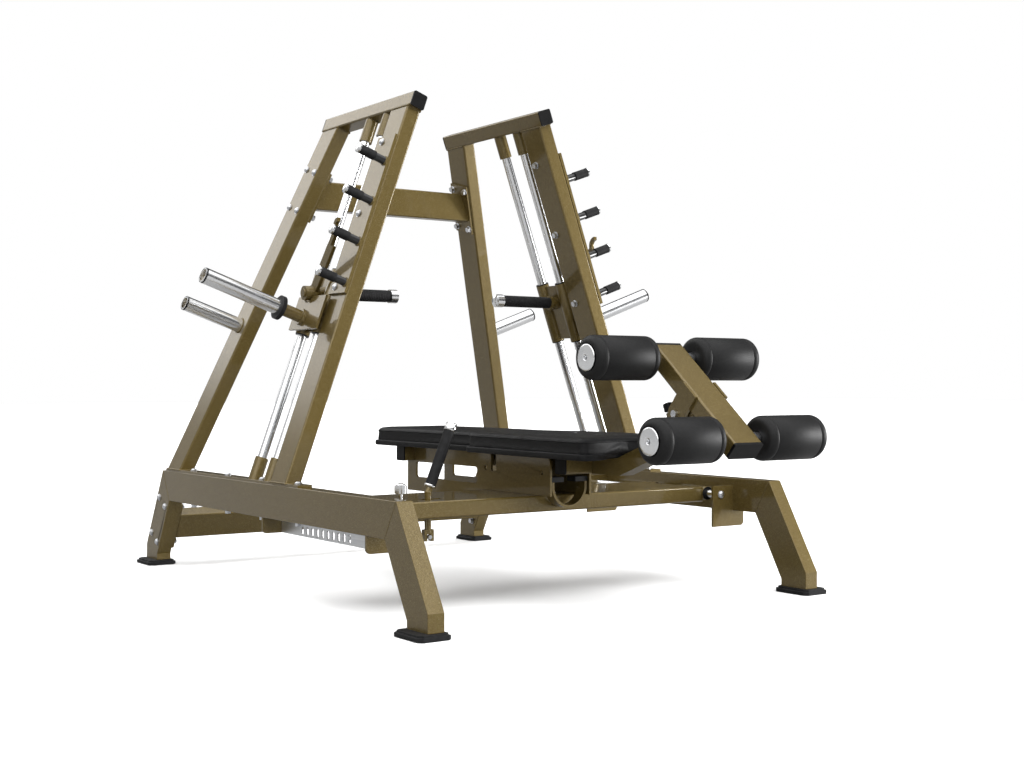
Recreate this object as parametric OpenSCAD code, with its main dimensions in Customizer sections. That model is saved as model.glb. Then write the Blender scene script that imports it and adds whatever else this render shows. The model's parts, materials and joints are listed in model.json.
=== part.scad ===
// Plate-loaded guided press bench: two leaning upright frames carry independent weight carriages
// over a bench that slides along the base, with a leg-roller unit at the front of the bench.
// Axes: +X from the left frame to the right one, +Y from the leg rollers towards the back, +Z up.

/* [Base frame] */
// Distance between the outer faces of the two base rails
base_width = 1412; // [1380:4:1440]
// Length of a base rail along its top edge
rail_length = 1636; // [1600:4:1680]
// Height of the top of the base rails above the floor
rail_top = 342; // [330:2:360]
// Wide side of the base tube
base_tube_depth = 105; // [100:1:110]
// Narrow side of the frame tubes
tube_width = 50; // [48:1:52]
// Splay of the legs from the vertical
leg_splay = 29.9; // [26:0.1:32]
// Outer face of a foot, measured from the middle of the base
foot_reach = 976; // [960:2:990]
// Height of the rubber feet
foot_height = 17; // [12:1:20]
// How far each rubber foot reaches outwards beyond its even rim
foot_lip = 18; // [0:2:24]

/* [Upright frames] */
// Lean of each upright frame towards the middle
lean = 19.8; // [18:0.1:21]
// Length of the front post, measured up the leaning frame
post_length = 1255; // [1240:5:1290]
// Wide side of the post tubes
post_depth = 108; // [104:1:112]
// Middle of the front post along the machine
front_post_y = -112; // [-120:1:-108]
// Middle of the foot of the rear post along the machine
rear_post_y = 718; // [700:2:730]
// Forward tilt of the rear post inside its leaning frame
rear_post_tilt = 16; // [14:0.5:17]
// Diameter of the guide rods
rod_d = 30; // [25:1:32]
// Distance between the two guide rods of one frame
rod_spacing = 112; // [110:1:120]
// Middle between the two guide rods along the machine
rod_mid_y = 47; // [45:1:50]

/* [Carriages and pegs] */
// Height of a carriage up the leaning frame, at its middle
carriage_at = 600; // [560:5:620]
// Length of the carriage housings
carriage_length = 212; // [200:2:220]
// Diameter of the plate-loading sleeves
sleeve_d = 50; // [48:0.5:50.5]
// Length of a sleeve beyond its collar
sleeve_length = 264; // [200:4:280]
// Diameter of the rubber on the rack pegs
peg_d = 30; // [26:1:31]
// Distance from one rack peg to the next, up the frame
peg_pitch = 137; // [130:1:140]
// Number of rack pegs on each frame
peg_count = 4; // [2:1:4]
// Diameter of the hand grips
grip_d = 38; // [34:1:40]

/* [Bench] */
// Height of the top of the pad above the floor
pad_top = 502; // [494:1:510]
// Thickness of the pad
pad_thickness = 52; // [40:2:60]
// Width of the head end of the pad
head_width = 296; // [260:4:320]
// Width of the seat end of the pad
seat_width = 430; // [400:5:500]
// Distance between two positions of the sliding bench
slot_pitch = 33; // [30:1:35]
// Number of positions of the sliding bench
slot_count = 10; // [6:1:10]

/* [Leg rollers] */
// Diameter of the foam rollers
roller_d = 120; // [100:2:126]
// Length of each foam roller
roller_length = 214; // [180:2:230]
// Distance between the two roller axles
axle_spacing = 330; // [310:2:340]
// Slope of the roller arm from the floor
arm_slope = 40; // [36:1:44]

/* [Hidden] */
$fn = 48;

left = -1;
right = 1;
sides = [left, right];
wall = 3;
corner_r = 6;
weld_gap = 0.05;
far = 3000;

// Base frame in side view
rail_bottom = rail_top - base_tube_depth;
rail_half = rail_length / 2;
rail_x = base_width / 2 - tube_width / 2;
mitre_run = base_tube_depth / tan(45 + leg_splay / 2);
foot_inner = foot_reach - base_tube_depth;
outer_kink_z = rail_top - (foot_reach - rail_half) / tan(leg_splay);
inner_kink_z = rail_bottom - (foot_inner - rail_half + mitre_run) / tan(leg_splay);
flange_t = 8;
flange_top = rail_top + flange_t;
flange_bolts_y = [-200, rod_mid_y, 309, 594];

// Leaning frames: x is depth from the outer face, z is distance up the frame
rod_x = tube_width / 2;
rods_y = [rod_mid_y - rod_spacing / 2, rod_mid_y + rod_spacing / 2];
socket_d = 42;
socket_length = 78;
top_front_y = -178;
top_back_y = 415;
crossbar_at = 1032;
crossbar_bolts = [for (y = [-36, 36], z = [-72, 72]) [y, z]];
lower_crossbar_z = 165;
lower_bolts = [for (y = [-30, 30], z = [-76, 76]) [y, z]];
bolt_d = 12;
bolt_hole_d = 13;
bolt_head_d = 20;

// Rack pegs
peg_plate_t = 10;
peg_y = -150;
first_peg_at = 647;
pegs_at = [for (i = [0 : peg_count - 1]) first_peg_at + i * peg_pitch];
peg_plate_from = 613;
peg_plate_to = 1151;
peg_bolt_y = -92;
peg_bolts_at = [635, 884, 1132];
peg_stub_length = 38;
peg_length = 94;
peg_core_d = 20;

// Carriage
housing_d = 45;
bush_d = 33;
bush_length = 30;
bush_flange_t = 3;
run_gap = 0.06;
load_plate_gap = 13;
load_plate_t = 8;
sleeve_at = 535;
collar_x = -98;
collar_t = 13;
shaft_d = 40;
handle_y = rod_mid_y;
handle_z = 938;
handle_d = 28;
handle_from = 205;
handle_to = 543;
bearing_from = 446;
bearing_to = 492;
hook_x = 505;
hook_t = 12;
hook_lift = 2;
hook_release = 6.5;
hook_mouth_r = 18;
hook_eye_r = 30;
hook_open_from = 92;
hook_open_to = 318;

// Sliding bench
bench_tube = 50;
deck_top = 314;
front_bar_y = -563;
rear_bar_y = -310;
slide_rod_x = 603;
slide_rod_z = 291;
slide_rod_d = 25;
bracket_t = 8;
bracket_front_y = -652;
bracket_rear_y = 0;
slot_plate_x = -637;
slot_plate_t = 5;
slot_z = 205;
latch_y = -409;
first_slot_y = latch_y - slot_pitch;
lever_x = -422;
lever_y = -515;
lever_pivot_z = 285;
lever_lean = 22.5;
lever_rod_d = 20;
latch_d = 12;
knob_x = -548;
knob_y = -574;
plate_x = 70;
plate_t = 8;
frame_bottom = 388;
frame_top = frame_bottom + bench_tube;
rear_tube_y = 150;
front_tube_y = -755;
tube_half = 118;
bend_y = -900;
rise = 20;
beam_end = 250;
leg_tube = 42;
pop_at = 235;
pop_pin_d = 9.8;
pop_barrel = 56;
pop_pull = 5.5;
post_pitch = 25;
board_t = pad_top - pad_thickness - frame_top;

// Leg rollers: origin on the lower axle, z up the arm, y towards its back
lower_axle = [-1347, 506];
pivot_along = 168.5;
pivot_back = 59;
arm_over = 29;
arm_under = 41;
disc_d = 72;
axle_d = 24;
lug_t = 8;
roller_inner = 77.5;
pivot = [lower_axle[0] + pivot_along * cos(arm_slope) + pivot_back * sin(arm_slope),
         lower_axle[1] + pivot_along * sin(arm_slope) - pivot_back * cos(arm_slope)];

// The origin is on the floor in the middle of the machine's overall box
front_limit = lower_axle[0] - roller_d / 2;
back_limit = foot_reach + 17;
origin_y = (front_limit + back_limit) / 2;

steel_paint = [0.36, 0.31, 0.19];
chrome = [0.86, 0.87, 0.88];
black_rubber = [0.09, 0.09, 0.1];
black_plastic = [0.06, 0.06, 0.06];
zinc = [0.82, 0.83, 0.84];
pad_vinyl = [0.12, 0.12, 0.13];
bolt_steel = [0.75, 0.76, 0.78];

// Mitres in side view, as (y, z) at their outer and inner ends
rail_mitre = [[-rail_half, rail_top], [-rail_half + mitre_run, rail_bottom]];
foot_mitre = [[-foot_reach, outer_kink_z], [-foot_inner, inner_kink_z]];
bend_run = bench_tube / 2 * tan(rise / 2);
bend_mitre = [[bend_y + bend_run, frame_top], [bend_y - bend_run, frame_bottom]];

// The part of a mitre that is open inside the tubes, share being a wall over the tube's depth
function inside(mitre, share) = [mitre[0] + share * (mitre[1] - mitre[0]),
                                 mitre[1] - share * (mitre[1] - mitre[0])];

function back_to_front(point) = [-point[0], point[1]];

// Points along an arc
function arc(x, y, r, from, to, steps = 9) = [for (i = [0 : steps])
    let(a = from + (to - from) * i / steps) [x + r * cos(a), y + r * sin(a)]];

// ---------- shared shapes ----------

module placed() translate([0, -origin_y, 0]) children();

// A child drawn for the left side, put on the side asked for
module on_side(side) mirror([side == right ? 1 : 0, 0, 0]) children();

// The leaning plane of the left frame: x = 0 on its outer face, z = 0 on the base flange
module leaning() translate([-base_width / 2, 0, flange_top]) rotate([0, lean, 0]) children();

module below_flange() rotate([0, -lean, 0]) translate([-300, -far / 2, -600]) cube([600, far, 600]);

// Rounded rectangle, centred
module rounded(w, h, r = corner_r) {
    square([w - 2 * r, h], center = true);
    square([w, h - 2 * r], center = true);
    for (x = [-1, 1], y = [-1, 1]) translate([x * (w / 2 - r), y * (h / 2 - r)]) circle(r = r);
}

// Rectangular tube standing on the origin
module tube(w, h, length, t = wall) {
    linear_extrude(length) difference() {
        rounded(w, h);
        rounded(w - 2 * t, h - 2 * t, corner_r - t);
    }
}

// Round tube standing on the origin
module pipe(d, bore, length) {
    linear_extrude(length) difference() {
        circle(d = d);
        circle(d = bore);
    }
}

// A side view drawn as (y, z), given a thickness in x
module side_view(x, t) translate([x, 0, 0]) rotate([90, 0, 90]) linear_extrude(t) children();

// Cylinder along x, y
module rod_x_dir(x, length, d) translate([x, 0, 0]) rotate([0, 90, 0]) cylinder(h = length, d = d);
module rod_y_dir(y, length, d) translate([0, y, 0]) rotate([-90, 0, 0]) cylinder(h = length, d = d);

// Bolt along -z with a domed head above z = 0 and a nut below the grip length
module bolt(grip, d = bolt_d, head = bolt_head_d) {
    translate([0, 0, -grip - 2]) cylinder(h = grip + 4, d = d);
    cylinder(h = 2, d = head + 4);
    translate([0, 0, 2]) intersection() {
        cylinder(h = 7, d = head);
        translate([0, 0, -head / 2 + 4]) sphere(d = head * 1.3);
    }
    translate([0, 0, -grip - 2]) cylinder(h = 2, d = head + 4);
    translate([0, 0, -grip - 12]) cylinder(h = 10, d = head, $fn = 6);
}

// ---------- base frame ----------

module base_rails() color(steel_paint) placed() for (s = sides) on_side(s) difference() {
    side_view(-base_width / 2, tube_width) rail_outline(rail_mitre);
    side_view(-base_width / 2 + wall, tube_width - 2 * wall)
        rail_outline(inside(rail_mitre, wall / base_tube_depth));
    at_flange_bolts() translate([0, 0, -200]) cylinder(h = 300, d = bolt_hole_d);
}

module rail_outline(m) polygon([m[0], m[1], back_to_front(m[1]), back_to_front(m[0])]);

module at_flange_bolts() for (y = flange_bolts_y) translate([-rail_x, y, flange_top]) children();

// Leg at the front left: a splayed tube on a short upright foot, joined by a mitre
module leg() difference() {
    side_view(-base_width / 2, tube_width)
        leg_outline(rail_mitre, foot_mitre, foot_height, foot_reach, foot_inner);
    side_view(-base_width / 2 + wall, tube_width - 2 * wall)
        leg_outline(inside(rail_mitre, wall / base_tube_depth), inside(foot_mitre, wall / base_tube_depth),
                    foot_height + 5, foot_reach - wall, foot_inner + wall);
}

module leg_outline(top, kink, bottom, outer, inner)
    polygon([top[0], top[1], kink[1], [-inner, bottom], [-outer, bottom], kink[0]]);

module front_legs() color(steel_paint) placed() for (s = sides) on_side(s) leg();

module rear_legs() color(steel_paint) placed() for (s = sides) on_side(s) difference() {
    mirror([0, 1, 0]) leg();
    at_lower_bolts() translate([0, 0, -100]) cylinder(h = 200, d = bolt_hole_d);
}

module rubber_feet() color(black_rubber) placed()
    for (s = sides, e = [-1, 1])
        translate([s * (rail_x + foot_lip / 2), e * (foot_reach - base_tube_depth / 2), 0]) {
            linear_extrude(foot_height - 6) foot_outline(34);
            translate([0, 0, foot_height - 6]) linear_extrude(6) foot_outline(24);
        }

module foot_outline(extra) {
    w = tube_width + extra + foot_lip;
    h = base_tube_depth + extra;
    c = 12;
    polygon([for (x = [-1, 1], y = (x < 0 ? [1, -1] : [-1, 1]), k = (x * y > 0 ? [0, 1] : [1, 0]))
        [x * (w / 2 - c * k), y * (h / 2 - c * (1 - k))]]);
}

module base_flanges() color(steel_paint) placed() for (s = sides) on_side(s) difference() {
    translate([-base_width / 2 + 1, -245, rail_top]) cube([tube_width - 2, 1035, flange_t]);
    at_flange_bolts() translate([0, 0, -20]) cylinder(h = 40, d = bolt_hole_d);
}

// ---------- leaning upright frames ----------

module front_post(side) color(steel_paint) placed() on_side(side) leaning() difference() {
    translate([rod_x, front_post_y, 0]) tube(tube_width, post_depth, post_length);
    below_flange();
    at_peg_bolts() translate([0, 0, -100]) cylinder(h = 200, d = bolt_hole_d);
}

module rear_post(side) color(steel_paint) placed() on_side(side) leaning() difference() {
    on_rear_post(-40) tube(tube_width, post_depth, 1500);
    below_flange();
    translate([-100, -far / 2, post_length]) cube([300, far, 600]);
    at_crossbar_bolts() translate([0, 0, -100]) cylinder(h = 200, d = bolt_hole_d);
}

// Children stand on the middle line of the rear post, the given distance up it
module on_rear_post(along)
    translate([rod_x, rear_post_y, 0]) rotate([rear_post_tilt, 0, 0]) translate([0, 0, along]) children();

module at_crossbar_bolts() for (b = crossbar_bolts)
    on_rear_post(crossbar_at / cos(rear_post_tilt)) translate([-rod_x, b[0], b[1]])
        rotate([0, -90, 0]) children();

module at_peg_bolts() for (z = peg_bolts_at)
    translate([-peg_plate_t, peg_bolt_y, z]) rotate([0, -90, 0]) children();

module at_lower_bolts() for (b = lower_bolts)
    on_rear_leg() translate([-rail_x - tube_width / 2, b[0], b[1]]) rotate([0, -90, 0]) children();

// Children sit on the middle line of the rear leg, turned to its splay
module on_rear_leg()
    translate([0, rail_half, rail_top]) rotate([leg_splay, 0, 0])
        translate([0, -base_tube_depth / 2, -(rail_top - lower_crossbar_z) / cos(leg_splay) + 28])
            children();

module top_tubes() color(steel_paint) placed() for (s = sides) on_side(s) leaning()
    translate([rod_x, top_front_y, post_length + tube_width / 2]) rotate([-90, 0, 0])
        tube(tube_width, tube_width, top_back_y - top_front_y);

module top_tube_caps() color(black_plastic) placed() for (s = sides) on_side(s) leaning()
    for (e = [[top_front_y, 1], [top_back_y, -1]])
        translate([rod_x, e[0], post_length + tube_width / 2]) rotate([-90 * e[1], 0, 0]) {
            translate([0, 0, -5]) linear_extrude(5) rounded(tube_width, tube_width);
            linear_extrude(14) rounded(tube_width - 2 * wall - 1, tube_width - 2 * wall - 1, 2.5);
        }

module upper_crossbar() color(steel_paint) placed() {
    difference() {
        translate([-400, crossbar_y(), crossbar_z()]) rotate([0, 90, 0]) tube(100, tube_width, 800);
        for (s = sides) on_side(s) leaning()
            translate([-400, -far / 2, -100]) cube([400 + tube_width + flange_t, far, 1600]);
    }
    for (s = sides) on_side(s) leaning() difference() {
        on_rear_post(crossbar_at / cos(rear_post_tilt))
            translate([rod_x, -48, -92]) cube([flange_t, 96, 184]);
        at_crossbar_bolts() translate([0, 0, -100]) cylinder(h = 200, d = bolt_hole_d);
    }
}

function crossbar_y() = rear_post_y - crossbar_at * tan(rear_post_tilt);
function crossbar_z() = flange_top + crossbar_at * cos(lean) - tube_width * sin(lean);

module lower_crossbar() color(steel_paint) placed() {
    span = base_width - 2 * tube_width - 2 * flange_t;
    on_rear_leg() translate([-span / 2, -base_tube_depth / 2 + tube_width / 2, 0])
        rotate([0, 90, 0]) tube(100, tube_width, span);
    for (s = sides) on_side(s) difference() {
        on_rear_leg() translate([-base_width / 2 + tube_width, -base_tube_depth / 2 + 2, -92])
            cube([flange_t, base_tube_depth - 6, 184]);
        at_lower_bolts() translate([0, 0, -100]) cylinder(h = 200, d = bolt_hole_d);
    }
}

module guide_rods() color(chrome) placed() for (s = sides) on_side(s) leaning() difference() {
    for (y = rods_y) translate([rod_x, y, 0]) cylinder(h = post_length, d = rod_d);
    below_flange();
}

module rod_sockets() color(steel_paint) placed() for (s = sides) on_side(s) leaning()
    for (y = rods_y) {
        difference() {
            translate([rod_x, y, 0]) pipe(socket_d, rod_d + 2 * run_gap, socket_length);
            below_flange();
        }
        translate([rod_x, y, post_length - socket_length])
            pipe(socket_d, rod_d + 2 * run_gap, socket_length);
    }

// ---------- rack pegs ----------

module at_pegs() for (z = pegs_at)
    translate([-peg_plate_t, peg_y, z]) rotate([0, -90, 0]) children();

module peg_plates() color(steel_paint) placed() for (s = sides) on_side(s) leaning() {
    difference() {
        translate([-peg_plate_t, front_post_y - post_depth / 2, peg_plate_from])
            cube([peg_plate_t, post_depth, peg_plate_to - peg_plate_from]);
        at_peg_bolts() translate([0, 0, -100]) cylinder(h = 200, d = bolt_hole_d);
    }
    at_pegs() {
        cylinder(h = peg_stub_length, d = peg_d - 4);
        cylinder(h = peg_length, d = peg_core_d);
    }
}

module peg_sleeves() color(black_rubber) placed() for (s = sides) on_side(s) leaning() at_pegs()
    translate([0, 0, peg_stub_length + weld_gap])
        pipe(peg_d, peg_core_d + 2 * weld_gap, peg_length - peg_stub_length - 2 * weld_gap);

module peg_caps() color(chrome) placed() for (s = sides) on_side(s) leaning() at_pegs()
    translate([0, 0, peg_length + weld_gap]) {
        cylinder(h = 5, d = peg_d + 1);
        translate([0, 0, 5]) intersection() {
            cylinder(h = 5, d = peg_d + 1);
            translate([0, 0, -peg_d]) sphere(r = peg_d + 4);
        }
    }

module storage_horns() color(chrome) placed() for (s = sides) on_side(s) leaning()
    on_rear_post(555) translate([-rod_x, 0, 0]) rotate([0, -90, 0]) pipe(sleeve_d, sleeve_d - 10, 215);

module frame_bolts() color(bolt_steel) placed() for (s = sides) on_side(s) {
    leaning() {
        at_peg_bolts() bolt(peg_plate_t + tube_width);
        at_crossbar_bolts() bolt(tube_width + flange_t);
    }
    at_lower_bolts() bolt(tube_width + flange_t);
    at_flange_bolts() bolt(base_tube_depth + flange_t);
    for (e = [[bracket_front_y - bracket_t / 2, 90], [bracket_rear_y + bracket_t / 2, -90]])
        translate([-slide_rod_x, e[0], slide_rod_z]) rotate([e[1], 0, 0]) slide_rod_bolt();
}

module slide_rod_bolt() {
    translate([0, 0, -24]) cylinder(h = 26, d = bolt_d);
    cylinder(h = 2, d = 26);
    translate([0, 0, 2]) intersection() {
        cylinder(h = 8, d = 22);
        translate([0, 0, -8]) sphere(d = 30);
    }
}

// ---------- slide unit under the bench ----------

// Bracket that hooks under the rail and holds one end of the bench's slide rod
module bracket_outline() difference() {
    union() {
        translate([-base_width / 2 + tube_width, 187]) square([87, 132]);
        translate([-base_width / 2 + 14, 187]) square([tube_width, rail_bottom - 187]);
        translate([-base_width / 2 + 2, 201]) square([20, rail_bottom - 201]);
        translate([-base_width / 2 + 16, 201]) circle(r = 14);
    }
    translate([-slide_rod_x, slide_rod_z]) circle(d = bolt_hole_d);
}

module slide_brackets() color(steel_paint) placed()
    for (s = sides, y = [bracket_front_y, bracket_rear_y]) on_side(s)
        translate([0, y + bracket_t / 2, 0]) rotate([90, 0, 0]) linear_extrude(bracket_t)
            bracket_outline();

module slide_rods() color(chrome) placed() for (s = sides)
    translate([s * slide_rod_x, 0, slide_rod_z]) difference() {
        rod_y_dir(bracket_front_y + bracket_t / 2,
                  bracket_rear_y - bracket_front_y - bracket_t, slide_rod_d);
        for (y = [bracket_front_y, bracket_rear_y - 26]) rod_y_dir(y, 26, bolt_hole_d);
    }

module slotted_plate() color(zinc) placed() {
    from = bracket_front_y + bracket_t / 2;
    to = bracket_rear_y - bracket_t / 2;
    side_view(slot_plate_x - slot_plate_t / 2, slot_plate_t) difference() {
        translate([from, 187]) square([to - from, 70]);
        for (i = [0 : slot_count - 1]) translate([first_slot_y + i * slot_pitch, slot_z])
            rounded(16, 26, 7.9);
    }
}

// ---------- weight carriages ----------

module in_housings() for (y = rods_y) translate([rod_x, y, carriage_at - carriage_length / 2]) children();

// Children are drawn along +x from the handle's axis, at the height and place of the handle
module at_handle() translate([0, handle_y, handle_z]) children();

module carriage(side) color(steel_paint) placed() on_side(side) {
    difference() {
        union() {
            leaning() {
                in_housings() cylinder(h = carriage_length, d = housing_d);
                translate([rod_x - 5, rods_y[0], carriage_at - 98]) cube([10, rod_spacing, 196]);
                translate([-load_plate_gap - load_plate_t, -72, carriage_at - 106])
                    cube([load_plate_t, 187, 112]);
                for (y = rods_y) translate([-load_plate_gap - 1, y - 9, carriage_at - 100])
                    cube([rod_x + load_plate_gap, 18, 96]);
                translate([-load_plate_gap, rod_mid_y, sleeve_at]) rotate([0, -90, 0])
                    cylinder(h = -collar_x + sleeve_length - load_plate_gap + 4, d = shaft_d);
                translate([-load_plate_gap - load_plate_t, rod_mid_y, sleeve_at]) rotate([0, -90, 0])
                    cylinder(h = 10, d = shaft_d + 14);
            }
            at_handle() rod_x_dir(-bearing_to, bearing_to - bearing_from, 44);
        }
        leaning() in_housings() translate([0, 0, -1]) cylinder(h = carriage_length + 2, d = bush_d + 0.1);
        at_handle() rod_x_dir(-bearing_to - 1, bearing_to - bearing_from + 2, handle_d + 2 * run_gap);
        at_handle() rod_x_dir(-bearing_to - 60, 60, 62);
    }
}

module carriage_bushings(side) color(black_plastic) placed() on_side(side) leaning() in_housings()
    for (e = [0, 1]) translate([0, 0, e * carriage_length]) mirror([0, 0, e]) {
        pipe(bush_d, rod_d + 2 * run_gap, bush_length);
        translate([0, 0, -bush_flange_t]) pipe(housing_d - 1, rod_d + 2 * run_gap, bush_flange_t);
    }

module on_sleeve(x) translate([x, rod_mid_y, sleeve_at]) rotate([0, -90, 0]) children();

module loading_sleeve(side) color(chrome) placed() on_side(side) leaning() on_sleeve(collar_x - collar_t)
    pipe(sleeve_d, shaft_d + 2 * weld_gap, sleeve_length);

module sleeve_collar(side) color(black_rubber) placed() on_side(side) leaning() on_sleeve(collar_x)
    pipe(78, shaft_d + 2 * weld_gap, collar_t - weld_gap);

// ---------- turning handles with rack hooks ----------

// Middle of the hook's mouth when it is turned over a peg, before the carriage settles on it
function hook_mouth() = [peg_y, flange_top + (first_peg_at + peg_pitch + hook_lift) * cos(lean)
    + (hook_x - base_width / 2 + (first_peg_at + peg_pitch) * sin(lean)) * tan(lean)];

module hook_outline() {
    reach = norm(hook_mouth() - [handle_y, handle_z]);
    turn = atan2(hook_mouth()[1] - handle_z, hook_mouth()[0] - handle_y);
    translate([handle_y, handle_z]) rotate(-hook_release) {
        circle(d = 52);
        rotate(turn) difference() {
            union() {
                translate([0, -17]) square([reach - hook_mouth_r, 34]);
                translate([reach, 0]) circle(r = hook_eye_r);
            }
            translate([reach, 0]) circle(r = hook_mouth_r);
            translate([reach, 0]) rotate(-turn) polygon([[0, 0],
                for (i = [0 : 5]) let(a = hook_open_from + i * (hook_open_to - hook_open_from) / 5)
                    70 * [cos(a), sin(a)]]);
        }
    }
}

module hook_handle(side) color(steel_paint) placed() on_side(side) {
    at_handle() {
        rod_x_dir(-handle_to, handle_to - handle_from, handle_d);
        rod_x_dir(-bearing_from + 0.5, 15, 50);
        rod_x_dir(-handle_to + 5, handle_to - bearing_to - 6, 46);
    }
    side_view(-hook_x - hook_t / 2, hook_t) hook_outline();
}

module handle_grip(side) color(black_rubber) placed() on_side(side) at_handle() rotate([0, 90, 0])
    translate([0, 0, -430]) pipe(grip_d, handle_d + 2 * weld_gap, 203);

module handle_cap(side) color(chrome) placed() on_side(side) at_handle() {
    difference() {
        rod_x_dir(-226.5, 26, 45);
        rod_x_dir(-227, 22.5, handle_d + 2 * weld_gap);
    }
    translate([-200.5, 0, 0]) rotate([0, 90, 0]) intersection() {
        cylinder(h = 6, d = 45);
        translate([0, 0, -34]) sphere(r = 40);
    }
}

// ---------- sliding bench ----------

module bench_carriage() color(steel_paint) placed() {
    bar_x = slide_rod_x - 16;
    difference() {
        union() {
            for (y = [front_bar_y, rear_bar_y]) {
                translate([-bar_x, y, deck_top - bench_tube / 2]) rotate([0, 90, 0])
                    tube(bench_tube, bench_tube, 2 * bar_x);
                for (s = sides) translate([s * slide_rod_x, 0, slide_rod_z]) rod_y_dir(y - 29, 58, 44);
            }
            translate([-560, front_bar_y, deck_top - 6]) cube([1120, rear_bar_y - front_bar_y, 6]);
        }
        for (s = sides) translate([s * slide_rod_x, 0, slide_rod_z])
            rod_y_dir(front_bar_y - 40, 400, 32.1);
        translate([lever_x - 24, lever_y - 16, deck_top - 20]) cube([70, 32, 40]);
        translate([knob_x, knob_y, deck_top - 20]) cylinder(h = 40, d = 12 + 2 * run_gap);
        for (y = [front_bar_y, rear_bar_y]) translate([0, y, deck_top - bench_tube / 2])
            cube([2 * bar_x - 52, bench_tube - 2 * wall, bench_tube - 2 * wall], center = true);
    }
    // ears for the lever's pivot and the hanging guide of the latch bolt
    for (y = [lever_y - 20, lever_y + 14]) difference() {
        translate([lever_x - 18, y, lever_pivot_z - 18]) cube([36, 6, deck_top - 6 - lever_pivot_z + 18]);
        translate([lever_x, 0, lever_pivot_z]) rod_y_dir(y - 1, 8, 12.2);
    }
    difference() {
        translate([-566, latch_y - 16, slot_z - 16]) cube([12, 32, deck_top - 6 - slot_z + 16]);
        translate([0, latch_y, slot_z]) rod_x_dir(-570, 20, latch_d + 2 * run_gap);
    }
}

module bench_bushings() color(black_plastic) placed()
    for (s = sides, y = [front_bar_y, rear_bar_y], e = [-1, 1])
        translate([s * slide_rod_x, y + e * 29, slide_rod_z]) rotate([90 * e, 0, 0]) {
            pipe(32, slide_rod_d + 2 * run_gap, 24);
            translate([0, 0, -bush_flange_t]) pipe(42, slide_rod_d + 2 * run_gap, bush_flange_t);
        }

module side_plate_outline() {
    front = -646;
    back = rear_tube_y + bench_tube / 2;
    tube_front = rear_tube_y - bench_tube / 2;
    foot_z = 285;
    difference() {
        union() {
            translate([front + 28, deck_top]) square([tube_front - front - 28, frame_top - deck_top]);
            translate([front, deck_top]) square([60, frame_top - deck_top - 28]);
            translate([front + 28, frame_top - 28]) circle(r = 28);
            translate([rear_bar_y + bench_tube / 2, foot_z])
                square([back - rear_bar_y - bench_tube / 2, frame_bottom - foot_z]);
        }
        translate([-68, 358.5]) rounded(374, 51, 10);
        translate([-348, 410]) rounded(28, 68, 5);
        for (h = [[-303, 384], [-604, 383]]) translate(h) circle(d = 14);
    }
}

module bench_side_plates() color(steel_paint) placed() for (s = sides) on_side(s)
    side_view(-plate_x - plate_t, plate_t) side_plate_outline();

// Height and place of the beam's middle line in side view
beam_z = frame_bottom + bench_tube / 2;

module in_riser() translate([0, bend_y, beam_z]) rotate([90 - rise, 0, 0]) children();

module bench_frame() color(steel_paint) placed() {
    for (y = [rear_tube_y, front_tube_y]) translate([-tube_half, y, beam_z]) rotate([0, 90, 0])
        tube(bench_tube, bench_tube, 2 * tube_half);
    difference() {
        side_view(-bench_tube / 2, bench_tube) beam_outline(bend_mitre, bench_tube / 2, 0);
        side_view(-bench_tube / 2 + wall, bench_tube - 2 * wall)
            beam_outline(inside(bend_mitre, wall / bench_tube), bench_tube / 2 - wall, 1);
        at_pop_pin() translate([0, 0, -10]) cylinder(h = 20, d = pop_pin_d + 2 * run_gap);
    }
    at_pop_pin() pipe(24, pop_pin_d + 2 * run_gap, pop_barrel);
}

// Beam and riser in side view, half being half their depth and extra how far the riser's end goes on
module beam_outline(mitre, half, extra) {
    back = rear_tube_y - bench_tube / 2;
    along = [-cos(rise), sin(rise)];
    across = [sin(rise), cos(rise)];
    end = [bend_y, beam_z] + (beam_end + extra) * along;
    polygon([[back, beam_z - half], [back, beam_z + half], mitre[0], end + half * across,
             end - half * across, mitre[1]]);
}

module bench_end_caps() color(black_plastic) placed()
    for (s = sides, y = [rear_tube_y, front_tube_y]) on_side(s)
        translate([-tube_half, y, beam_z]) rotate([0, 90, 0]) {
            translate([0, 0, -4]) linear_extrude(4) rounded(bench_tube, bench_tube);
            linear_extrude(12) rounded(bench_tube - 2 * wall - 1, bench_tube - 2 * wall - 1, 2.5);
        }

// Plan of the pad: a narrow head end, a wider seat end with round corners and a front edge scooped for the riser
module pad_plan(inset, scoop) {
    back = 283 - inset;
    step = -345 - inset;
    front = -979 + inset;
    head = head_width / 2 - inset;
    seat = seat_width / 2 - inset;
    waist = seat - 32;
    scoop_half = seat - 30;
    polygon(concat(
        arc(head - 10, back - 10, 10, 0, 90), arc(10 - head, back - 10, 10, 90, 180),
        [[-head, step]], arc(14 - waist, step - 14, 14, 90, 180),
        arc(24 - seat, front + 24, 24, 180, 270),
        [for (x = [-1 : 1 / 8 : 1]) [x * scoop_half, front + scoop * (1 + cos(180 * x)) / 2]],
        arc(seat - 24, front + 24, 24, 270, 360),
        arc(waist - 14, step - 14, 14, 0, 90), [[head, step]]));
}

module bench_board() color(black_plastic) placed() translate([0, 0, frame_top])
    linear_extrude(board_t) pad_plan(12, 80);

module bench_pad() color(pad_vinyl) placed() translate([0, 0, pad_top - pad_thickness])
    linear_extrude(pad_thickness) pad_plan(0, 60);

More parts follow.
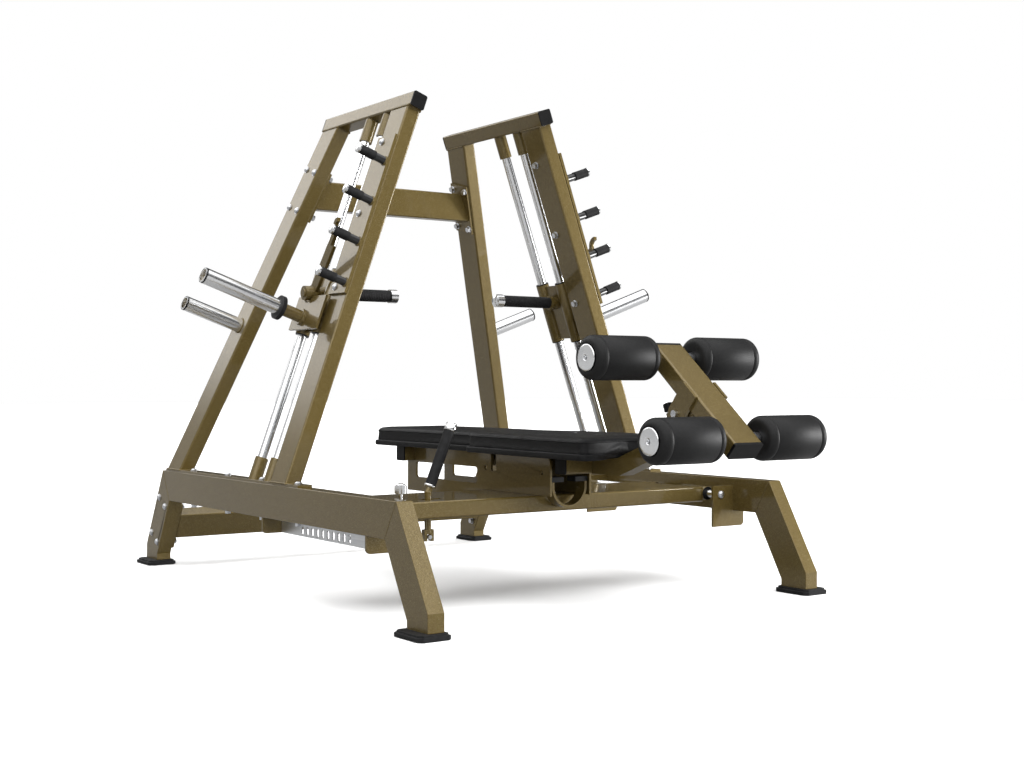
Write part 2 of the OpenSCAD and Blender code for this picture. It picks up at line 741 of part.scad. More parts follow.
module bench_cradle() color(steel_paint) placed() {
    translate([0, -600, 342]) rotate([90, 0, 0]) linear_extrude(40) polygon(concat(
        arc(0, 0, 65, 180, 360, 36), [[65, 13], [57, 13]],
        arc(0, 0, 57, 360, 180, 36), [[-57, 13], [-65, 13]]));
    for (s = sides) on_side(s) translate([0, -620, 346]) rod_x_dir(-plate_x, 6, 16);
}

module cradle_bumpers() color(black_rubber) placed() for (s = sides) on_side(s)
    translate([-69, -640, 355]) cube([48, 40, 15]);

module clamp_knob() color(chrome) placed() translate([knob_x, knob_y, deck_top + 0.3]) {
    cylinder(h = 8, d = 26, $fn = 6);
    translate([0, 0, -14]) cylinder(h = 44, d = 12);
    translate([0, 0, 26]) linear_extrude(22) difference() {
        circle(r = 18);
        for (a = [0 : 60 : 300]) rotate(a) translate([20, 0]) circle(r = 5);
    }
    translate([0, 0, 48]) intersection() {
        cylinder(h = 8, r = 14);
        translate([0, 0, -12]) sphere(r = 20);
    }
}

// ---------- lock lever ----------

// The bent rod: upright below the elbow, leaning towards the pad above it
elbow_z = 334;

module above_elbow() translate([lever_x, lever_y, elbow_z]) rotate([0, lever_lean, 0]) children();

module lock_lever() color(steel_paint) placed() {
    translate([lever_x, lever_y, slot_z + 14]) cylinder(h = elbow_z - slot_z - 14, d = lever_rod_d);
    difference() {
        translate([lever_x - 16, lever_y - 8, slot_z - 12]) cube([32, 16, 34]);
        translate([lever_x - latch_d / 2 - 0.3, lever_y - 9, slot_z - 13]) cube([latch_d + 0.6, 18, 21]);
    }
    translate([lever_x, lever_y, elbow_z]) sphere(d = lever_rod_d + 1);
    above_elbow() cylinder(h = 200, d = lever_rod_d);
    translate([lever_x, 0, lever_pivot_z]) rod_y_dir(lever_y - 22, 44, 12);
}

module lock_lever_grip() color(black_rubber) placed() above_elbow() translate([0, 0, 24])
    pipe(32, lever_rod_d + 2 * weld_gap, 172);

// Bolt that the lever pushes into a slot: along y from the lever's fork, then out along -x
module latch_bolt() color(bolt_steel) placed() {
    translate([lever_x, 0, slot_z]) rod_y_dir(lever_y - 14, latch_y - lever_y + 14, latch_d);
    translate([lever_x, latch_y, slot_z]) sphere(d = latch_d);
    translate([0, latch_y, slot_z]) rod_x_dir(-632, 632 + lever_x, latch_d);
}

// ---------- leg post and rollers ----------

module leg_post() color(steel_paint) placed() {
    in_riser() difference() {
        translate([0, 0, 78]) tube(leg_tube, leg_tube, 197);
        for (i = [-2 : 0]) translate([0, 0, pop_at + i * post_pitch]) rotate([-90, 0, 0])
            cylinder(h = 60, d = 11);
    }
    for (s = sides) on_side(s) side_view(-28, 8) difference() {
        union() {
            translate(pivot) circle(r = 23);
            polygon([pivot + [23, 0], pivot + [48, -55], pivot + [20, -92], pivot + [-22, -76],
                     pivot + [-23, 0]]);
        }
        translate(pivot) circle(r = 16.9);
    }
    difference() {
        translate([0, pivot[0], pivot[1]]) rod_x_dir(-49.7, 99.4, 34);
        translate([0, pivot[0], pivot[1]]) rod_x_dir(-51, 102, 12 + 2 * run_gap);
    }
}

// The pop pin stands on the riser's upper face
module at_pop_pin() in_riser() translate([0, bench_tube / 2, pop_at]) rotate([-90, 0, 0]) children();

// Spring plunger, drawn pulled back so that its tip is clear of the leg post
module pop_pin() color(black_plastic) placed() at_pop_pin() {
    translate([0, 0, pop_pull - 9]) cylinder(h = pop_barrel + 10, d = pop_pin_d);
    translate([0, 0, pop_barrel + pop_pull + 0.5]) cylinder(h = 20, d = 30);
    translate([0, 0, pop_barrel + pop_pull + 20.5]) intersection() {
        cylinder(h = 5, d = 30);
        translate([0, 0, -26]) sphere(r = 30);
    }
}

// The roller arm's own frame: origin on the lower axle, z up the arm, y towards its back
module on_arm() translate([0, lower_axle[0], lower_axle[1]]) rotate([arm_slope - 90, 0, 0]) children();

module roller_arm() color(steel_paint) placed() on_arm() {
    difference() {
        translate([0, 0, -arm_under]) tube(100, bench_tube, arm_under + axle_spacing + arm_over);
        for (z = [0, axle_spacing]) translate([0, 0, z]) rod_x_dir(-60, 120, axle_d + 2 * weld_gap);
    }
    for (s = sides) on_side(s) side_view(-50 - lug_t, lug_t) difference() {
        union() {
            translate([-25, pivot_along - 31]) square([pivot_back + 25, 62]);
            translate([pivot_back, pivot_along]) circle(r = 31);
        }
        translate([pivot_back, pivot_along]) circle(d = 12 + 2 * weld_gap);
    }
}

module roller_arm_caps() color(black_plastic) placed() on_arm()
    for (e = [[-arm_under, 0], [axle_spacing + arm_over, 1]]) translate([0, 0, e[0]]) mirror([0, 0, e[1]]) {
        translate([0, 0, -8]) linear_extrude(8) rounded(100, bench_tube);
        linear_extrude(12) rounded(93, bench_tube - 2 * wall - 1, 2.5);
    }

module roller_axles() color(bolt_steel) placed() {
    disc_from = roller_inner + roller_length + 0.4;
    on_arm() for (z = [0, axle_spacing]) translate([0, 0, z]) {
        rod_x_dir(-disc_from, 2 * disc_from, axle_d);
        for (s = sides) on_side(s) rod_x_dir(-roller_inner + 0.4, roller_inner - 50.4, 34);
    }
    translate([0, pivot[0], pivot[1]]) {
        rod_x_dir(-66, 132, 12);
        for (s = sides) on_side(s) rod_x_dir(-50 - lug_t - 9, 9, 20);
    }
}

module foam_roller(side, at) color(black_rubber) placed() on_arm() translate([0, 0, at])
    on_side(side) rotate([0, 90, 0]) translate([0, 0, -roller_inner - roller_length])
        rotate_extrude($fn = 96) difference() {
            rounded_half(roller_d / 2, roller_length, 20);
            translate([-1, -1]) square([1 + axle_d / 2 + run_gap, roller_length + 2]);
        }

// Half of a roller's section, with rounded shoulders
module rounded_half(r, length, shoulder) {
    translate([0, 0]) square([r - shoulder, length]);
    translate([0, shoulder]) square([r, length - 2 * shoulder]);
    for (y = [shoulder, length - shoulder]) translate([r - shoulder, y]) circle(r = shoulder);
}

module roller_end_discs() color(chrome) placed() on_arm() for (z = [0, axle_spacing], s = sides)
    on_side(s) translate([-roller_inner - roller_length - 0.4, 0, z]) rotate([0, -90, 0]) {
        cylinder(h = 4, d = disc_d);
        translate([0, 0, 4]) cylinder(h = 2, d1 = disc_d, d2 = disc_d - 10);
        cylinder(h = 9, d = 14);
    }

// ---------- the nodes ----------

base_rails();
front_legs();
rear_legs();
rubber_feet();
base_flanges();
front_post(left);  // left_front_post
front_post(right);  // right_front_post
rear_post(left);  // left_rear_post
rear_post(right);  // right_rear_post
top_tubes();
top_tube_caps();
upper_crossbar();
lower_crossbar();
guide_rods();
rod_sockets();
peg_plates();
peg_sleeves();
peg_caps();
storage_horns();
frame_bolts();
slide_brackets();
slide_rods();
slotted_plate();
carriage(left);  // left_carriage
carriage(right);  // right_carriage
carriage_bushings(left);  // left_carriage_bushings
carriage_bushings(right);  // right_carriage_bushings
loading_sleeve(left);  // left_loading_sleeve
loading_sleeve(right);  // right_loading_sleeve
sleeve_collar(left);  // left_sleeve_collar
sleeve_collar(right);  // right_sleeve_collar
hook_handle(left);  // left_hook_handle
hook_handle(right);  // right_hook_handle
handle_grip(left);  // left_handle_grip
handle_grip(right);  // right_handle_grip
handle_cap(left);  // left_handle_cap
handle_cap(right);  // right_handle_cap
bench_carriage();
bench_bushings();
bench_side_plates();
bench_frame();
bench_end_caps();
bench_board();
bench_pad();
bench_cradle();
cradle_bumpers();
clamp_knob();
lock_lever();
lock_lever_grip();
latch_bolt();
leg_post();
pop_pin();
roller_arm();
roller_arm_caps();
roller_axles();
foam_roller(left, axle_spacing);  // upper_left_roller
foam_roller(right, axle_spacing);  // upper_right_roller
foam_roller(left, 0);  // lower_left_roller
foam_roller(right, 0);  // lower_right_roller
roller_end_discs();
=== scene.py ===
"""Looks of the press bench: materials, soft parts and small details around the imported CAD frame."""
import json
import math

import bmesh
import bpy
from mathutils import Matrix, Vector
from mathutils.bvhtree import BVHTree


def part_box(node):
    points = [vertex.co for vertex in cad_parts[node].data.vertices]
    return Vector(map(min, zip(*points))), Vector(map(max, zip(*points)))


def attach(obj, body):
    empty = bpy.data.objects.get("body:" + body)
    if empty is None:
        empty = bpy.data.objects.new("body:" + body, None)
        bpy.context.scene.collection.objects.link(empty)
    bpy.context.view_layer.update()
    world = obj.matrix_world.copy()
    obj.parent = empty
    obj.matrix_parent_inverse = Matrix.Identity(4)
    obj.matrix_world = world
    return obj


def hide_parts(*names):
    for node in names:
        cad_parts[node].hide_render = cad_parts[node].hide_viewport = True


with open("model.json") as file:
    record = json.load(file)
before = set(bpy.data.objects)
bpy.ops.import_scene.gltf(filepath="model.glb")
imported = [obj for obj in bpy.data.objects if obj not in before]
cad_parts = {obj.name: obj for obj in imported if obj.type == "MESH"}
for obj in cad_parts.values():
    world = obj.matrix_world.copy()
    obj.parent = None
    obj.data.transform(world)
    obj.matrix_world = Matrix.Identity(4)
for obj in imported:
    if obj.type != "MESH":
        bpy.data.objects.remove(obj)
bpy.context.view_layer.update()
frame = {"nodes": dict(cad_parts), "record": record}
nodes = frame["nodes"]
scene = bpy.context.scene

# The leaning frames, as the CAD has them: their lean, where they stand, and the rack plate's thickness
LEAN = math.radians(19.8)
OUTER_X = 0.706
FLANGE_TOP = 0.350
PEG_PLATE = 0.010
SIDES = (-1, 1)
SIDE_NAMES = {-1: "left", 1: "right"}

# Room light. An aim is (azimuth, elevation) in degrees. With it goes the rise of the light towards it:
# the cosines where it starts and ends, and the strength at each.
FILL_AIM = (172, 25)
FILL = (-0.1, 1.0, 0.16, 2.6)
CEILING_AIM = (215, 70)
CEILING = (0.48, 0.68, 0.08, 1.9)
WINDOW_AIM = (-10, 34)
WINDOW = (0.9205, 0.948, 0.0, 2.1)
WALL_AIM = (-78, 0)
WALL = (0.17, 0.64, 0.0, 0.42)


# ---------- camera, light and floor ----------


def make_camera():
    data = bpy.data.cameras.new("camera")
    data.lens = 49.77
    data.sensor_width = 36
    camera = bpy.data.objects.new("camera", data)
    camera.location = (-2.581, -3.811, 0.650)
    camera.rotation_euler = (math.radians(90), 0, math.radians(-35.05))
    scene.collection.objects.link(camera)
    scene.camera = camera


def toward(azimuth, elevation):
    """A direction: azimuth 0 is +Y, 90 is +X, and elevation is above the horizon, in degrees."""
    a, e = math.radians(azimuth), math.radians(elevation)
    return Vector((math.sin(a) * math.cos(e), math.cos(a) * math.cos(e), math.sin(e)))


def make_world():
    """White to the camera; matt surfaces are lit from the front, and gloss reflects a dark horizon,
    a white ceiling, a grey wall on the left and one bright window behind it."""
    world = bpy.data.worlds.new("studio")
    world.use_nodes = True
    tree = world.node_tree
    tree.nodes.clear()
    direction = tree.nodes.new("ShaderNodeTexCoord").outputs["Generated"]

    def glow(aim, start, end, low, high):
        along = tree.nodes.new("ShaderNodeVectorMath")
        along.operation = "DOT_PRODUCT"
        along.inputs[1].default_value = aim
        tree.links.new(direction, along.inputs[0])
        span = tree.nodes.new("ShaderNodeMapRange")
        span.interpolation_type = "SMOOTHSTEP"
        for key, value in (("From Min", start), ("From Max", end), ("To Min", low), ("To Max", high)):
            span.inputs[key].default_value = value
        tree.links.new(along.outputs["Value"], span.inputs["Value"])
        return span.outputs["Result"]

    def background(strength):
        made = tree.nodes.new("ShaderNodeBackground")
        made.inputs["Color"].default_value = (1, 1, 1, 1)
        if strength is not None:
            tree.links.new(strength, made.inputs["Strength"])
        return made.outputs[0]

    def choose(ray, a, b):
        made = tree.nodes.new("ShaderNodeMixShader")
        tree.links.new(path.outputs[ray], made.inputs[0])
        tree.links.new(a, made.inputs[1])
        tree.links.new(b, made.inputs[2])
        return made.outputs[0]

    path = tree.nodes.new("ShaderNodeLightPath")
    mirrored = glow(toward(*CEILING_AIM), *CEILING)
    for aim, rise in ((WINDOW_AIM, WINDOW), (WALL_AIM, WALL)):
        total = tree.nodes.new("ShaderNodeMath")
        tree.links.new(mirrored, total.inputs[0])
        tree.links.new(glow(toward(*aim), *rise), total.inputs[1])
        mirrored = total.outputs[0]
    light = choose("Is Glossy Ray", background(glow(toward(*FILL_AIM), *FILL)), background(mirrored))
    light = choose("Is Camera Ray", light, background(None))
    output = tree.nodes.new("ShaderNodeOutputWorld")
    tree.links.new(light, output.inputs[0])
    scene.world = world


def area_light(name, location, target, size, power):
    data = bpy.data.lights.new(name, "AREA")
    data.shape = "RECTANGLE"
    data.size, data.size_y = size
    data.energy = power
    light = bpy.data.objects.new(name, data)
    light.location = location
    aim = Vector(target) - Vector(location)
    light.rotation_euler = aim.to_track_quat("-Z", "Y").to_euler()
    scene.collection.objects.link(light)


def floor_light(floor):
    """Wide soft light from above that falls on the floor alone, so that the floor stays white."""
    data = bpy.data.lights.new("floor_light", "SUN")
    data.energy = 3.1
    data.angle = math.radians(80)
    light = bpy.data.objects.new("floor_light", data)
    light.rotation_euler = (math.radians(12), math.radians(-6), 0)
    scene.collection.objects.link(light)
    only = bpy.data.collections.new("floor_only")
    only.objects.link(floor)
    light.light_linking.receiver_collection = only


def make_studio():
    scene.view_settings.view_transform = "Standard"
    scene.view_settings.look = "None"
    make_camera()
    make_world()
    area_light("key", (7.4, -3.4, 1.3), (0.1, -0.4, 0.3), (2.4, 2.4), 420)
    bpy.ops.mesh.primitive_plane_add(size=80, location=(0, 0, -0.001))
    floor = bpy.context.object
    floor.name = "floor"
    floor.data.materials.append(floor_material())
    floor_light(floor)


# ---------- materials ----------


class Shader:
    """A Principled material and the helpers that build its procedural nodes."""

    def __init__(self, name, color, roughness, metallic=0.0):
        self.material = bpy.data.materials.new(name)
        self.material.use_nodes = True
        self.tree = self.material.node_tree
        self.tree.nodes.clear()
        self.bsdf = self.node("ShaderNodeBsdfPrincipled")
        output = self.node("ShaderNodeOutputMaterial")
        self.link(self.bsdf.outputs[0], output.inputs[0])
        self.coords = self.node("ShaderNodeTexCoord").outputs["Object"]
        self.set("Base Color", (*color, 1))
        self.set("Roughness", roughness)
        self.set("Metallic", metallic)

    def node(self, kind, **values):
        made = self.tree.nodes.new(kind)
        for key, value in values.items():
            if hasattr(made, key):
                setattr(made, key, value)
            else:
                made.inputs[key.replace("_", " ")].default_value = value
        return made

    def link(self, output, socket):
        self.tree.links.new(output, socket)

    def set(self, socket, value):
        self.bsdf.inputs[socket].default_value = value

    def noise(self, scale, detail=3.0, stretch=(1, 1, 1), roughness=0.55):
        mapping = self.node("ShaderNodeMapping")
        mapping.inputs["Scale"].default_value = stretch
        self.link(self.coords, mapping.inputs["Vector"])
        made = self.node("ShaderNodeTexNoise", Scale=scale, Detail=detail, Roughness=roughness)
        self.link(mapping.outputs[0], made.inputs["Vector"])
        return made.outputs["Fac"]

    def cells(self, scale, feature="F1", output="Distance"):
        made = self.node("ShaderNodeTexVoronoi", feature=feature, Scale=scale)
        self.link(self.coords, made.inputs["Vector"])
        return made.outputs[output]

    def ramp(self, factor, stops):
        made = self.node("ShaderNodeValToRGB")
        elements = made.color_ramp.elements
        while len(elements) < len(stops):
            elements.new(0.5)
        for element, (place, color) in zip(elements, stops):
            element.position = place
            element.color = (*color, 1) if len(color) == 3 else color
        self.link(factor, made.inputs["Fac"])
        return made.outputs["Color"]

    def span(self, factor, low, high, start=0.0, end=1.0):
        made = self.node("ShaderNodeMapRange")
        for key, value in (("From Min", start), ("From Max", end), ("To Min", low), ("To Max", high)):
            made.inputs[key].default_value = value
        self.link(factor, made.inputs["Value"])
        return made.outputs["Result"]

    def mix(self, factor, a, b, mode="MIX"):
        made = self.node("ShaderNodeMix", data_type="RGBA", blend_type=mode)
        for socket, value in ((made.inputs[0], factor), (made.inputs[6], a), (made.inputs[7], b)):
            if isinstance(value, bpy.types.NodeSocket):
                self.link(value, socket)
            else:
                socket.default_value = value if isinstance(value, float) else (*value, 1)
        return made.outputs[2]

    def bump(self, *layers):
        """Each layer is (height, strength, distance in metres)."""
        normal = None
        for height, strength, distance in layers:
            made = self.node("ShaderNodeBump", Strength=strength, Distance=distance)
            self.link(height, made.inputs["Height"])
            if normal is not None:
                self.link(normal, made.inputs["Normal"])
            normal = made.outputs["Normal"]
        self.link(normal, self.bsdf.inputs["Normal"])

    def color(self, output):
        self.link(output, self.bsdf.inputs["Base Color"])

    def roughness(self, output):
        self.link(output, self.bsdf.inputs["Roughness"])


def floor_material():
    """White to the camera, and dark to every other ray, so that it throws little light upwards."""
    s = Shader("floor_matte", (0.9, 0.9, 0.9), 0.9)
    tone = s.ramp(s.noise(1.5), [(0.3, (0.89, 0.89, 0.89)), (0.7, (0.92, 0.92, 0.92))])
    rays = s.node("ShaderNodeLightPath").outputs
    dim = s.mix(rays["Is Glossy Ray"], (0.09, 0.09, 0.09), (0.24, 0.24, 0.24))
    s.color(s.mix(rays["Is Camera Ray"], dim, tone))
    return s.material


def paint_shader(name):
    """Bronze paint: fine metal flakes under a thin glossy clear coat, with faint orange peel."""
    s = Shader(name, (0.2, 0.142, 0.042), 0.42, 0.45)
    flakes = s.node("ShaderNodeSeparateColor")
    s.link(s.cells(1300, output="Color"), flakes.inputs["Color"])
    flake_color = s.ramp(flakes.outputs["Red"], [(0.0, (0.095, 0.064, 0.013)), (0.6, (0.155, 0.108, 0.027)),
                                                 (0.93, (0.22, 0.158, 0.048)), (1.0, (0.45, 0.36, 0.18))])
    cloud = s.ramp(s.noise(3.0), [(0.3, (0.9, 0.9, 0.9)), (0.7, (1.0, 1.0, 1.0))])
    bronze = s.mix(1.0, flake_color, cloud, "MULTIPLY")
    s.color(bronze)
    s.roughness(s.span(flakes.outputs["Green"], 0.34, 0.5))
    s.set("Specular IOR Level", 0.3)
    s.set("Coat Weight", 0.7)
    s.set("Coat Roughness", 0.07)
    s.bump((s.noise(900, 2.0), 0.15, 0.0002), (s.noise(170, 2.0), 0.12, 0.0006))
    return s, bronze


def frame_paint():
    return paint_shader("frame_paint")[0].material


def peg_paint():
    """Bronze on the rack plates, and black where the pegs stand out from them."""
    s, bronze = paint_shader("peg_paint")
    split = s.node("ShaderNodeSeparateXYZ")
    s.link(s.coords, split.inputs[0])
    fold = s.node("ShaderNodeMath", operation="ABSOLUTE")
    s.link(split.outputs["X"], fold.inputs[0])
    folded = s.node("ShaderNodeCombineXYZ")
    for source, axis in ((fold.outputs[0], "X"), (split.outputs["Y"], "Y"), (split.outputs["Z"], "Z")):
        s.link(source, folded.inputs[axis])
    outwards = outwards_of(1)
    plate_face = leaning(1, -PEG_PLATE, 0, 0).dot(outwards)
    along = s.node("ShaderNodeVectorMath", operation="DOT_PRODUCT")
    s.link(folded.outputs[0], along.inputs[0])
    along.inputs[1].default_value = outwards
    on_peg = s.span(along.outputs["Value"], 0.0, 1.0, plate_face + 0.0002, plate_face + 0.0006)
    s.color(s.mix(on_peg, bronze, (0.008, 0.008, 0.0085)))
    s.link(s.span(on_peg, 0.45, 0.0), s.bsdf.inputs["Metallic"])
    return s.material


def chrome():
    s = Shader("chrome", (0.86, 0.87, 0.88), 0.2, 1.0)
    s.roughness(s.span(s.noise(35, 4.0), 0.16, 0.24))
    s.color(s.ramp(s.noise(12, 3.0), [(0.35, (0.82, 0.83, 0.845)), (0.65, (0.88, 0.885, 0.89))]))
    s.bump((s.noise(900, 2.0), 0.01, 0.0001))
    return s.material


def bolt_steel():
    s = Shader("bolt_steel", (0.62, 0.63, 0.65), 0.28, 1.0)
    s.roughness(s.span(s.noise(220, 3.0), 0.2, 0.38))
    s.color(s.ramp(s.noise(90, 3.0), [(0.3, (0.54, 0.55, 0.57)), (0.7, (0.68, 0.69, 0.71))]))
    s.bump((s.noise(1500, 2.0), 0.08, 0.0001))
    return s.material


def zinc_plate():
    s = Shader("zinc_plate", (0.72, 0.73, 0.75), 0.34, 0.9)
    streaks = s.noise(60, 5.0, (1, 0.06, 4))
    s.roughness(s.span(streaks, 0.26, 0.44))
    s.color(s.ramp(streaks, [(0.3, (0.66, 0.67, 0.69)), (0.7, (0.78, 0.79, 0.8))]))
    s.bump((s.noise(400, 3.0, (1, 0.05, 3)), 0.08, 0.0002))
    return s.material


def black_rubber():
    s = Shader("black_rubber", (0.02, 0.02, 0.021), 0.62)
    s.color(s.ramp(s.noise(60, 4.0), [(0.3, (0.009, 0.009, 0.0095)), (0.7, (0.018, 0.018, 0.019))]))
    s.set("Specular IOR Level", 0.2)
    s.roughness(s.span(s.noise(140, 3.0), 0.52, 0.72))
    s.bump((s.cells(1400), 0.25, 0.0003), (s.noise(300, 3.0), 0.15, 0.0004))
    return s.material


def black_plastic():
    s = Shader("black_plastic", (0.018, 0.018, 0.019), 0.42)
    s.color(s.ramp(s.noise(40, 3.0), [(0.3, (0.004, 0.004, 0.0042)), (0.7, (0.008, 0.008, 0.0083))]))
    s.set("Specular IOR Level", 0.16)
    s.roughness(s.span(s.noise(200, 3.0), 0.34, 0.5))
    s.bump((s.noise(1100, 3.0), 0.2, 0.0002))
    return s.material


def pad_vinyl():
    s = Shader("pad_vinyl", (0.010, 0.010, 0.0105), 0.44)
    grain = s.cells(620, "DISTANCE_TO_EDGE")
    soft = s.noise(14, 3.0)
    s.color(s.mix(s.span(grain, 0.0, 1.0, 0.0, 0.25), (0.005, 0.005, 0.0055), (0.012, 0.012, 0.0125)))
    s.roughness(s.span(soft, 0.44, 0.56))
    s.set("Specular IOR Level", 0.16)
    s.bump((s.span(grain, 0.0, 1.0, 0.0, 0.3), 0.28, 0.0005), (s.noise(45, 3.0), 0.1, 0.002))
    return s.material


def roller_foam():
    s = Shader("roller_foam", (0.012, 0.012, 0.0125), 0.5)
    s.color(s.ramp(s.noise(320, 4.0), [(0.3, (0.006, 0.006, 0.0063)), (0.7, (0.013, 0.013, 0.0133))]))
    s.roughness(s.span(s.noise(26, 3.0), 0.42, 0.56))
    s.set("Specular IOR Level", 0.22)
    s.bump((s.cells(900), 0.3, 0.0005), (s.noise(60, 3.0), 0.12, 0.0015))
    return s.material


MATERIALS = {
    "frame_paint": frame_paint(),
    "chrome": chrome(),
    "bolt_steel": bolt_steel(),
    "zinc_plate": zinc_plate(),
    "black_rubber": black_rubber(),
    "black_plastic": black_plastic(),
    "pad_vinyl": pad_vinyl(),
    "roller_foam": roller_foam(),
}


def paint_cad_nodes():
    slots = {row["node"]: row["material_slot"] for row in frame["record"]["subparts"]}
    for name, obj in nodes.items():
        obj.data.materials.clear()
        obj.data.materials.append(MATERIALS[slots[name]] if name != "peg_plates" else peg_paint())


# ---------- building helpers ----------


def add_object(name, mesh, material, body):
    obj = bpy.data.objects.new(name, mesh)
    scene.collection.objects.link(obj)
    mesh.materials.clear()
    mesh.materials.append(MATERIALS[material])
    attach(obj, body)
    return obj


def mesh_of(name, points, faces, smooth=True):
    mesh = bpy.data.meshes.new(name)
    mesh.from_pydata([tuple(p) for p in points], [], faces)
    mesh.validate()
    work = bmesh.new()
    work.from_mesh(mesh)
    bmesh.ops.recalc_face_normals(work, faces=work.faces)
    work.to_mesh(mesh)
    work.free()
    if smooth:
        mesh.polygons.foreach_set("use_smooth", [True] * len(mesh.polygons))
    return mesh


def join_meshes(name, parts, smooth=False):
    """One mesh from several lists of (points, faces)."""
    points, faces = [], []
    for part_points, part_faces in parts:
        start = len(points)
        points += part_points
        faces += [tuple(start + k for k in face) for face in part_faces]
    return mesh_of(name, points, faces, smooth)


def ring_skin(rings, closed_along=False, caps=True):
    """Points and faces of a skin over rings that all have the same number of points."""
    count = len(rings[0])
    points = [tuple(p) for ring in rings for p in ring]
    faces = []
    steps = len(rings) if closed_along else len(rings) - 1
    for i in range(steps):
        a, b = i * count, (i + 1) % len(rings) * count
        faces += [(a + k, a + (k + 1) % count, b + (k + 1) % count, b + k) for k in range(count)]
    if caps and not closed_along:
        faces += [tuple(range(count)), tuple(range(len(points) - count, len(points)))]
    return points, faces


def ring_mesh(name, rings, closed_along=False, caps=True):
    return mesh_of(name, *ring_skin(rings, closed_along, caps))


def lathe(profile, origin, axis, segments=48, hollow=True):
    """Points and faces of (along, radius) points turned around an axis through origin."""
    axis = Vector(axis).normalized()
    side = axis.orthogonal().normalized()
    other = axis.cross(side)
    rings = []
    for along, radius in profile:
        centre = Vector(origin) + axis * along
        rings.append([centre + (side * math.cos(a) + other * math.sin(a)) * radius
                      for a in (math.tau * k / segments for k in range(segments))])
    return ring_skin(rings, closed_along=hollow, caps=not hollow)


def tube(path, radius, segments=8, ripple=0.0, ripple_length=0.004):
    """Points and faces of a round tube along a closed path. A ripple makes it swell as a weld does."""
    count = len(path)
    rings, travelled = [], 0.0
    for i, point in enumerate(path):
        ahead = (path[(i + 1) % count] - path[i - 1]).normalized()
        side = ahead.cross(Vector((0.31, 0.17, 0.94))).normalized()
        other = ahead.cross(side)
        travelled += (point - path[i - 1]).length if i else 0.0
        r = radius * (1 + ripple * math.sin(math.tau * travelled / ripple_length))
        rings.append([point + (side * math.cos(a) + other * math.sin(a)) * r
                      for a in (math.tau * k / segments for k in range(segments))])
    return ring_skin(rings, closed_along=True)


def tube_mesh(name, path, radius, segments=10):
    return mesh_of(name, *tube(path, radius, segments))


def resample(points, count):
    """That many points, evenly spaced, around a closed polyline."""
    points = [Vector(p) for p in points]
    points.append(points[0])
    lengths = [(b - a).length for a, b in zip(points, points[1:])]
    total = sum(lengths)
    made, index, walked = [], 0, 0.0
    for k in range(count):
        target = total * k / count
        while index < len(lengths) - 1 and walked + lengths[index] < target:
            walked += lengths[index]
            index += 1
        share = (target - walked) / max(lengths[index], 1e-9)
        made.append(points[index].lerp(points[index + 1], min(1.0, share)))
    return made


def arc(x, y, radius, start, end, steps=10):
    """Points of an arc in plan, angles in degrees."""
    return [(x + radius * math.cos(math.radians(a)), y + radius * math.sin(math.radians(a)))
            for a in (start + (end - start) * k / steps for k in range(steps + 1))]


def leaning(side, depth, y, height):
    """A point of the left (-1) or right (1) frame: depth inwards from its outer face, height up it."""
    x = -OUTER_X + depth * math.cos(LEAN) + height * math.sin(LEAN)
    z = FLANGE_TOP - depth * math.sin(LEAN) + height * math.cos(LEAN)
    return Vector((-side * x, y, z))


# ---------- bench pad ----------

PAD_HEAD_HALF = 0.148
PAD_WAIST = 0.032
PAD_STEP_FROM_BACK = 0.628
PAD_CORNERS = {"head": 0.010, "step": 0.014, "seat": 0.024}
CUSHION_SCOOP = 0.060
BASE_SCOOP = 0.088


def pad_outline(inset, scoop, count):
    """Evenly spaced points of the pad's plan, moved in by inset, with a scooped front edge for the riser."""
    low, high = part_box("bench_pad")
    seat, head = high.x - inset, PAD_HEAD_HALF - inset
    waist = seat - PAD_WAIST
    back, front = high.y - inset, low.y + inset
    step = high.y - PAD_STEP_FROM_BACK - inset
    r_head, r_step, r_seat = (PAD_CORNERS[k] for k in ("head", "step", "seat"))
    scooped = [(seat - 0.030) * k / 12 for k in range(-12, 13)]
    points = (arc(head - r_head, back - r_head, r_head, 0, 90)
              + arc(r_head - head, back - r_head, r_head, 90, 180)
              + [(-head, step)] + arc(r_step - waist, step - r_step, r_step, 90, 180)
              + arc(r_seat - seat, front + r_seat, r_seat, 180, 270)
              + [(x, front + scoop * (1 + math.cos(math.pi * x / scooped[-1])) / 2) for x in scooped]
              + arc(seat - r_seat, front + r_seat, r_seat, 270, 360)
              + arc(waist - r_step, step - r_step, r_step, 0, 90) + [(head, step)])
    return resample([Vector((x, y, 0)) for x, y in points], count)


def pad_shell(name, levels, scoop, count=700):
    """A closed slab whose outline is moved in by inset at each height of levels."""
    rings = [[Vector((p.x, p.y, height)) for p in pad_outline(inset, scoop, count)]
             for inset, height in levels]
    return ring_mesh(name, rings)


def apply_modifiers(obj):
    graph = bpy.context.evaluated_depsgraph_get()
    made = bpy.data.meshes.new_from_object(obj.evaluated_get(graph))
    old = obj.data
    obj.modifiers.clear()
    obj.data = made
    bpy.data.meshes.remove(old)


